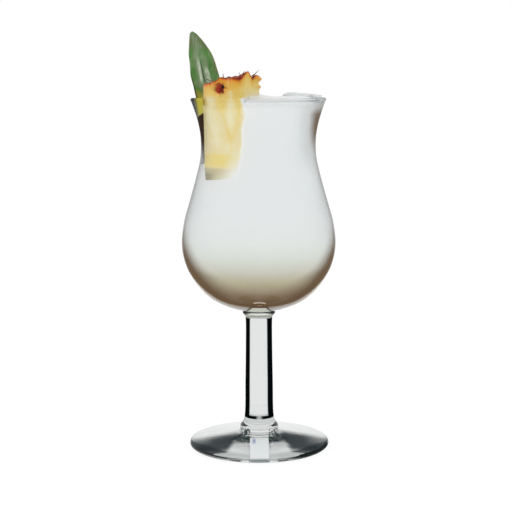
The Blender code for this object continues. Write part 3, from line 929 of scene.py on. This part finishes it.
flesh = Finish("pineapple", roughness=0.38, specular_ior_level=0.15)
flesh_place = flesh.place()
flesh_x, flesh_z = flesh_place[0] / MM, flesh_place[2] / MM
painted = {name: flesh.attribute(name) for name in paints}
depth_share = painted["depth"]
fibre = flesh.grain(0.0011, 3.0, (1.0, 1.0, 9.0))
patch = flesh.grain(0.004, 2.0)
lumps = flesh.grain(0.0022, 3.0, (1.0, 1.0, 1.8))
wander = depth_share + (patch - 0.5) * 0.08 * depth_share.step(0.0, 0.1) + (fibre - 0.5) * 0.02
crust_colour = flesh.blend(patch.step(0.4, 0.6), colour(222, 148, 56), colour(168, 88, 34))
eye_colour = flesh.blend(patch.step(0.35, 0.6), colour(152, 46, 18), colour(96, 16, 8))
eye_colour = flesh.blend(painted["eye_core"].step(0.3, 0.7), eye_colour, colour(26, 2, 2))
# The painted shadow at the base is darker in its lower left corner.
corner_dark = flesh_x.step(-21.5, -26.5) * flesh_z.step(153.4, 150.6)
shadow_colour = flesh.blend(corner_dark, colour(184, 176, 144), colour(142, 135, 116))
speck = flesh.grain(0.0011, 2.0)
milk_edge = painted["milk"].step(0.0, 0.2) * painted["milk"].step(1.0, 0.9)
milk_amount = (painted["milk"] + (speck - 0.5) * 0.9 * milk_edge).step(0.2, 0.8)
flesh_colour = flesh.over(flesh.ramp(wander, FLESH_STOPS), [
    (painted["cream"] * 0.85, colour(226, 220, 186)),
    (painted["gold"] * 0.8, colour(222, 192, 104)),
    (painted["amber"] * (0.3 + 0.4 * patch), colour(220, 198, 100)),
    (painted["band"] * 0.8, colour(226, 208, 120)),
    (lumps.step(0.45, 0.7) * 0.4 * depth_share.step(0.06, 0.2), colour(224, 206, 130)),
    (fibre.step(0.5, 0.8) * 0.3, colour(238, 230, 200)),
    (painted["crust"] * 0.8, crust_colour),
    (painted["notch"] * 0.9, colour(92, 16, 12)),
    (painted["eye"], eye_colour),
    (painted["shadow"] * 0.9, shadow_colour),
    (painted["fade"], MILK),
    (milk_amount, MILK),
])
flesh_glow = flesh.blend(flesh_z.step(GLOW_FROM, GLOW_FULL), NO_GLOW, flesh_colour)
flesh.set(base_color=flesh_colour, emission_color=flesh_glow, emission_strength=1.25 * GLOW)
flesh.bump(fibre + patch, 0.25, 0.0004)
flesh.cover(wedge)

# %% [markdown]
# ## The leaf
#
# A leaf of a pineapple's crown is a thin channel that narrows to a blunt tip. A curve with a width would do
# for a straight leaf, but this one leans and twists. So its two edges are given at a few heights, in rows
# of height, left x and y, right x and y, with a smooth curve through the rows. As a very flat tube the
# leaf has a front, a back and a rounded edge.

# %% Leaf edges
LEAF_TOP = 226.5
LEAF_END = 155.5
LEAF_STATIONS = [
    (LEAF_END, -29.25, -3.6, -28.85, -5.9),
    (166.0, -28.15, -3.0, -27.05, -8.0),
    (176.0, -29.25, -3.0, -28.15, -8.2),
    (183.0, -31.1, -2.8, -28.0, -6.6),
    (190.0, -33.0, -3.0, -22.3, 0.4),
    (196.0, -34.4, -3.0, -20.3, 2.2),
    (203.0, -36.0, -3.0, -20.9, 2.6),
    (209.0, -36.6, -2.6, -22.8, 2.6),
    (215.4, -37.0, -2.0, -25.2, 2.2),
    (221.8, -36.8, -1.2, -29.9, 1.2),
    (LEAF_TOP, -36.2, -0.4, -34.0, 0.2),
]
LEAF_RINGS = 220
LEAF_AROUND = 96

stations = smooth_through(LEAF_STATIONS, 10)
stations = stations[np.argsort(stations[:, 0])]
leaf_height = np.linspace(LEAF_TOP, LEAF_END, LEAF_RINGS)[:, None]
left_edge, right_edge = [
    np.stack([np.interp(leaf_height, stations[:, 0], stations[:, k]) for k in columns], axis=-1)
    for columns in ((1, 2), (3, 4))
]
tube_angle = np.linspace(0.0, 2 * math.pi, LEAF_AROUND, endpoint=False)[None, :]
leaf_across = (1 + np.cos(tube_angle)) / 2 + 0 * leaf_height
leaf_side = np.sin(tube_angle) + 0 * leaf_height
print("leaf, rings and points round:", leaf_across.shape)

# %% [markdown]
# Between the edges the blade is bent back into a shallow channel, waved, ribbed and given a midrib. All
# that fades towards the rim, where the leaf is held flat. At both ends width and thickness run out.

# %% Leaf blade
LEAF_THICKNESS = 0.8
LEAF_CHANNEL = 1.3
LEAF_WAVE = 0.35
LEAF_RIBS = 0.05
LEAF_MIDRIB = 0.18

leaf_run = right_edge - left_edge
leaf_width = np.linalg.norm(leaf_run, axis=-1)
backward = np.stack([-leaf_run[..., 1], leaf_run[..., 0]], axis=-1) / leaf_width[..., None]
above_rim = smooth_step(189.0, 201.0, leaf_height)
from_middle = 2 * leaf_across - 1
channel = LEAF_CHANNEL * (1 - from_middle ** 2) * leaf_width / leaf_width.max() * above_rim
wave = LEAF_WAVE * np.sin(0.55 * leaf_height + 2.0 * leaf_across) * from_middle * above_rim
ribs = LEAF_RIBS * np.sin(from_middle * 26.0) * above_rim
midrib = -LEAF_MIDRIB * np.exp(-(from_middle / 0.08) ** 2) * above_rim
end_taper = np.clip((LEAF_TOP - leaf_height) / 1.2, 0.0, 1.0) ** 0.5
end_taper = end_taper * np.clip((leaf_height - LEAF_END) / 2.0, 0.0, 1.0) ** 0.5
half_thick = LEAF_THICKNESS / 2 * leaf_side * end_taper
offset = channel + wave + ribs + midrib + half_thick
spread = (leaf_across - 0.5)[..., None] * leaf_run * end_taper[..., None]
blade_plan = (left_edge + right_edge) / 2 + spread + backward * offset[..., None]
print("leaf, widest in mm:", round(float(leaf_width.max()), 1))

# %% [markdown]
# Below the rim the leaf lies on the inner wall, so there its two edges are given as angles round the axis.
# Both forms are worked out for the whole leaf, and the height says which of them counts.

# %% Leaf end on the wall
TAIL_HEIGHTS = [155.5, 166.0, 176.0, 180.0, 183.0, 190.0]
TAIL_LEFT = [185.0, 185.0, 186.0, 194.0, 197.5, 200.0]
TAIL_RIGHT = [206.0, 202.5, 207.5, 211.5, 214.5, 216.5]
HEIGHT_UNIT = 250.0

tail_left = np.radians(np.interp(leaf_height, TAIL_HEIGHTS, TAIL_LEFT))
tail_right = np.radians(np.interp(leaf_height, TAIL_HEIGHTS, TAIL_RIGHT))
tail_angle = tail_left + (tail_right - tail_left) * (0.5 + (leaf_across - 0.5) * end_taper)
tail_radius = wall_radius(leaf_height) + LEAF_INTO_WALL - LEAF_THICKNESS / 2 * (1 + leaf_side * end_taper)
tail_plan = tail_radius[..., None] * np.stack([np.cos(tail_angle), np.sin(tail_angle)], axis=-1)
on_wall = smooth_step(191.0, 189.4, leaf_height)
leaf_plan = blade_plan + (tail_plan - blade_plan) * on_wall[..., None]
leaf_heights = leaf_height + 0 * tube_angle
leaf = skin("pineapple_leaf_blade", np.concatenate([leaf_plan, leaf_heights[..., None]], axis=-1) * MM)
paint(leaf, "across", leaf_across)
paint(leaf, "height", leaf_heights / HEIGHT_UNIT)
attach(leaf, "root")
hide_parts("pineapple_leaf")

# %% [markdown]
# ## The leaf's green, its midrib and its yellow foot
#
# The blade is olive at the tip and green below, with a greyish bloom, a dark midrib and two pale gleams
# beside it that are painted highlights. Its foot is yellow and its end is dark. Such bands follow the
# blade and not the air round it, so they go by two attributes, the share across the blade and the height.
# Veins are noise stretched upwards.

# %% Leaf finish
MIDRIB_AT = 0.455

leaf_finish = Finish("leaf", roughness=0.42, specular_ior_level=0.25)
leaf_share = leaf_finish.attribute("across")
leaf_up = leaf_finish.attribute("height") * HEIGHT_UNIT
vein = leaf_finish.grain(0.0006, 3.0, (1.0, 1.0, 16.0))
blotch = leaf_finish.grain(0.0032, 3.0, (1.0, 1.0, 1.6))
from_rib = abs(leaf_share - MIDRIB_AT)
bloom = from_rib.step(0.34, 0.10) * (0.4 + 0.6 * blotch.step(0.35, 0.6))
left_gleam = abs(leaf_share - 0.36).step(0.085, 0.02) * leaf_up.step(216.0, 206.0)
left_gleam = left_gleam * leaf_up.step(197.0, 202.0)
right_gleam = abs(leaf_share - 0.61).step(0.11, 0.03) * leaf_up.step(209.0, 205.0)
right_gleam = right_gleam * leaf_up.step(198.0, 201.0)
gleam = left_gleam.math("MAXIMUM", left_gleam, 0.8 * right_gleam) * (0.3 + 0.7 * vein.step(0.38, 0.6))
rib_line = from_rib.step(0.028, 0.010) * leaf_up.step(214.0, 207.0) * leaf_up.step(198.5, 200.5)
right_border = leaf_share.step(0.955, 0.985) * leaf_up.step(198.0, 206.0)
left_border = leaf_share.step(0.07, 0.02) * leaf_up.step(206.0, 199.0)
yellowing = (leaf_up + 3.0 * blotch + 4.0 * leaf_share).step(198.5, 192.5)
dark_end = (leaf_up - 2.4 * leaf_share + 1.2 * (blotch - 0.5)).step(181.6, 180.9)
green = leaf_finish.blend(blotch.step(0.38, 0.62), colour(82, 134, 62), colour(110, 136, 88))
leaf_colour = leaf_finish.over(green, [
    (leaf_up.step(214.0, 221.0) * 0.8, colour(100, 112, 72)),
    (bloom * 0.75, colour(128, 150, 116)),
    (vein.step(0.52, 0.7) * 0.5, colour(62, 100, 50)),
    (vein.step(0.42, 0.3) * 0.35, colour(160, 178, 142)),
    (gleam * 0.9, colour(222, 234, 212)),
    (rib_line * 0.85, colour(46, 62, 42)),
    (right_border * 0.75, colour(134, 112, 44)),
    (yellowing, colour(196, 188, 68)),
    (yellowing * leaf_share.step(0.20, 0.02) * 0.7, colour(110, 108, 44)),
    (left_border, colour(44, 48, 18)),
    (dark_end, colour(50, 30, 12)),
    (leaf_up.step(173.0, 161.0) * 0.85, colour(184, 180, 172)),
])
leaf_finish.set(base_color=leaf_colour)
leaf_finish.bump(vein + blotch * 0.5, 0.35, 0.0002)
leaf_finish.cover(leaf)

# %% [markdown]
# ## The lump of ice
#
# The ice floats in the drink, so only its top shows. A bevelled box would look machined and a ball too
# soft, so its form is between the two: a point's direction is divided by the fifth root of the sum of the
# fifth powers. Noise of two sizes makes it uneven, it falls a little to the right, and it is kept inside
# the wall.

# %% Ice form
ICE_CENTRE = (24.8, -2.2, 185.5)
ICE_HALF_SIZE = (11.8, 9.4, 8.0)
ICE_TURN = math.radians(-12.0)
ICE_TOP_FALL = 0.08
ICE_SQUARENESS = 5.0
ICE_OFF_WALL = 0.3
ICE_RINGS = 90
ICE_AROUND = 120

polar = np.linspace(0.0, math.pi, ICE_RINGS)[:, None]
azimuth = np.linspace(0.0, 2 * math.pi, ICE_AROUND, endpoint=False)[None, :]
ball = np.stack([
    np.sin(polar) * np.cos(azimuth),
    np.sin(polar) * np.sin(azimuth),
    np.cos(polar) + 0 * azimuth,
], axis=-1)
power_sum = (np.abs(ball) ** ICE_SQUARENESS).sum(axis=-1) ** (1 / ICE_SQUARENESS)
lump = ball / power_sum[..., None] * np.array(ICE_HALF_SIZE)
lump = lump * (1 + 0.05 * crags(lump, 6.0, 8.0) + 0.012 * crags(lump, 2.0, 2.0))[..., None]
ice_x = math.cos(ICE_TURN) * lump[..., 0] - math.sin(ICE_TURN) * lump[..., 1] + ICE_CENTRE[0]
ice_y = math.sin(ICE_TURN) * lump[..., 0] + math.cos(ICE_TURN) * lump[..., 1] + ICE_CENTRE[1]
ice_z = lump[..., 2] - ICE_TOP_FALL * (ice_x - ICE_CENTRE[0]) + ICE_CENTRE[2]
ice_distance = np.hypot(ice_x, ice_y)
ice_limit = np.minimum(ice_distance, wall_radius(ice_z) - ICE_OFF_WALL)
ice_points = np.stack([ice_x * ice_limit / ice_distance, ice_y * ice_limit / ice_distance, ice_z], axis=-1)
ice = skin("ice_lump", ice_points * MM)
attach(ice, "root")
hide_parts("ice_chunk")

# %% [markdown]
# ## Clouded ice
#
# Ice from a freezer is clouded white inside, with a few grey cracks. Where it is seen from the edge it
# gets a painted grey shade. Quite clear ice would vanish in the froth, so only a fifth of the light goes
# through. The cracks are the places where a slow noise passes its middle value.

# %% Ice finish
ice_finish = Finish("ice", roughness=0.15, transmission_weight=0.2, ior=1.31)
cloud = ice_finish.grain(0.005, 3.0)
crack = abs(ice_finish.grain(0.006, 1.0, (1.6, 1.0, 0.5)) - 0.5)
clouded = ice_finish.blend(cloud.step(0.35, 0.65), colour(242, 244, 244), colour(233, 236, 237))
ice_colour = ice_finish.over(clouded, [
    (crack.step(0.022, 0.006) * 0.5, colour(172, 178, 184)),
    (ice_finish.facing().step(0.72, 0.97) * 0.5, colour(132, 138, 144)),
])
ice_finish.set(base_color=ice_colour)
ice_finish.bump(cloud, 0.2, 0.0006)
ice_finish.cover(ice)

# %% [markdown]
# ## The drink
#
# The drink fills the bowl to the brim. A cylinder cut by the bowl would have rough borders, so it is one
# more stack of rings: a low dome of froth from the middle to the wall, then the side, which follows the
# inner wall and reaches just into it.

# %% Drink side and dome
FROTH_AT_WALL = 189.7
FROTH_CROWN = 191.9
SIDE_BELOW_FROTH = 0.6
FROTH_RINGS = 110
DRINK_AROUND = 240

drink_wall = bowl_inside(-DRINK_INTO_WALL)
drink_wall = drink_wall[drink_wall[:, 1] < FROTH_AT_WALL - SIDE_BELOW_FROTH]
froth_radius = wall_radius(FROTH_AT_WALL) + DRINK_INTO_WALL
froth_share = np.linspace(0.0, 1.0, FROTH_RINGS)
froth = np.stack([
    froth_share * froth_radius,
    FROTH_AT_WALL + (FROTH_CROWN - FROTH_AT_WALL) * (1 - froth_share ** 5),
], axis=1)
drink_rings = turned(np.vstack([froth, drink_wall]), DRINK_AROUND) / MM
print("drink, rings and points round:", drink_rings.shape[:2])

# %% [markdown]
# Froth climbs what stands in it. So it rises towards the fruit and the ice, less and less with the
# distance, and three sizes of noise make it uneven. The distance to the fruit is the largest of the
# distances to the four sides of its plan. At the wall all that fades, so that the border stays round.

# %% Froth
CLIMB_AT_WEDGE = 1.7
CLIMB_AT_ICE = 0.7
ICE_IN_FROTH = (10.5, 9.6)

froth_area = drink_rings[:FROTH_RINGS]
froth_x, froth_y = froth_area[..., 0], froth_area[..., 1]
wedge_plan = [np.array(WEDGE_CORNERS_TOP[key]) for key in ("left", "front", "right", "back")]
to_wedge = np.full(froth_x.shape, -100.0)
for start, end in zip(wedge_plan, wedge_plan[1:] + wedge_plan[:1]):
    side = end - start
    normal = np.array([side[1], -side[0]]) / np.linalg.norm(side)
    to_wedge = np.maximum(to_wedge, (froth_x - start[0]) * normal[0] + (froth_y - start[1]) * normal[1])
ice_across = (froth_x - ICE_CENTRE[0]) / ICE_IN_FROTH[0]
ice_along = (froth_y - ICE_CENTRE[1]) / ICE_IN_FROTH[1]
to_ice = np.maximum(np.hypot(ice_across, ice_along) - 1.0, 0.0) * 10.0
climb = CLIMB_AT_WEDGE * smooth_step(-21.0, -14.0, froth_y) * np.exp(-np.maximum(to_wedge, 0.0) / 2.6)
climb = climb + CLIMB_AT_ICE * np.exp(-to_ice / 1.6)
swirl = 0.22 * crags(froth_area, 9.0, 4.0) + 0.08 * crags(froth_area, 2.5, 6.0)
swirl = swirl + 0.03 * crags(froth_area, 0.9, 7.0)
drink_rings[:FROTH_RINGS, :, 2] += smooth_step(1.0, 0.93, froth_share)[:, None] * (climb + swirl)
drink_rings[0] = drink_rings[0, :1]
print("froth, highest in mm:", round(float(froth_area[..., 2].max()), 1))

# %% [markdown]
# In front of the garnish the drink stands lower, or its froth would cover the fruit and the leaf that
# press against the wall. What is lowered moves in to the wall's radius at its new height.

# %% Dip before the garnish
DIP = 4.0

drink_angle = np.degrees(np.arctan2(drink_rings[..., 1], drink_rings[..., 0])) % 360.0
drink_distance = np.hypot(drink_rings[..., 0], drink_rings[..., 1])
dip = DIP * smooth_step(178.0, 186.0, drink_angle) * smooth_step(262.0, 255.0, drink_angle)
dip = dip * (0.4 + 0.6 * smooth_step(245.0, 228.0, drink_angle))
dip_in_froth = smooth_step(24.0, 30.0, drink_distance)
dip_in_side = smooth_step(176.0, FROTH_AT_WALL, drink_rings[..., 2])
dip = dip * np.where(drink_rings[..., 2] > FROTH_AT_WALL, dip_in_froth, dip_in_side)
drink_rings[..., 2] -= dip
within_wall = np.minimum(drink_distance, wall_radius(drink_rings[..., 2]) + DRINK_INTO_WALL)
new_distance = np.where(dip > 0, within_wall, drink_distance)
drink_rings[..., :2] *= (new_distance / np.maximum(drink_distance, 1e-9))[..., None]
drink = skin("drink_body", drink_rings * MM)
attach(drink, "root")
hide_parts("drink")

# %% [markdown]
# ## White above, brown below
#
# The drink is white down to the widest part of the bowl and turns through tan to brown below it, a painted
# shade where less light reaches it. So its colour is a ramp read by the height, with a little noise in it.
# Behind the glass it glows a little, painted light as on the flesh, and the froth's bubbles are a fine
# bump.

# %% Drink finish
DRINK_STOPS = [
    (0.0, colour(112, 92, 68)), (0.18, colour(146, 122, 92)), (0.32, colour(192, 184, 152)),
    (0.45, colour(215, 214, 202)), (0.58, colour(224, 228, 221)), (0.72, colour(230, 233, 231)),
    (1.0, MILK),
]
BROWN_FROM = 80.0
BROWN_SPAN = 50.0

drink_finish = Finish("creamy_drink", roughness=0.35)
drink_z = drink_finish.place()[2] / MM
uneven = (drink_finish.grain(0.012, 2.0) - 0.5) * 2.0
drink_colour = drink_finish.ramp((drink_z + uneven - BROWN_FROM) / BROWN_SPAN, DRINK_STOPS)
drink_glow = drink_finish.blend(drink_z.step(GLOW_FROM, GLOW_FULL), NO_GLOW, drink_colour)
drink_finish.set(base_color=drink_colour, emission_color=drink_glow, emission_strength=GLOW)
drink_finish.bump(drink_finish.grain(0.0011, 4.0), 0.2, 0.0003)
drink_finish.cover(drink)

# %% [markdown]
# ## Floor and light
#
# The drink stands on plain white. A white world lights it from everywhere. A white floor that only gives
# back that light would be grey round the foot, where the glass stands in its way. So the floor is dark,
# and most of its white is a glow of its own, which leaves only a faint shadow. It lies a tenth of a
# millimetre low, so that the foot doesn't touch it.

# %% Floor, world and light
FLOOR_REACH = 6.0
FLOOR_BELOW = 0.0001
FLOOR_GLOW = 0.87
WHITE = (1.0, 1.0, 1.0, 1.0)

floor_signs = [(-1, -1), (1, -1), (1, 1), (-1, 1)]
floor_corners = [(a * FLOOR_REACH, b * FLOOR_REACH, 0.0) for a, b in floor_signs]
floor_mesh = bpy.data.meshes.new("floor")
floor_mesh.from_pydata(floor_corners, [], [(0, 1, 2, 3)])
floor = bpy.data.objects.new("floor", floor_mesh)
bpy.context.scene.collection.objects.link(floor)
floor.location.z = -FLOOR_BELOW
floor_finish = Finish("floor", base_color=(0.15, 0.15, 0.15, 1.0), roughness=0.6, specular_ior_level=0.0)
floor_finish.set(emission_color=WHITE, emission_strength=FLOOR_GLOW)
floor_finish.cover(floor)

world = bpy.data.worlds.new("white_room")
world.use_nodes = True
bpy.context.scene.world = world
sky = world.node_tree.nodes["Background"]
sky.inputs["Color"].default_value = WHITE
sky.inputs["Strength"].default_value = 1.0
bpy.context.scene.view_settings.view_transform = "Standard"
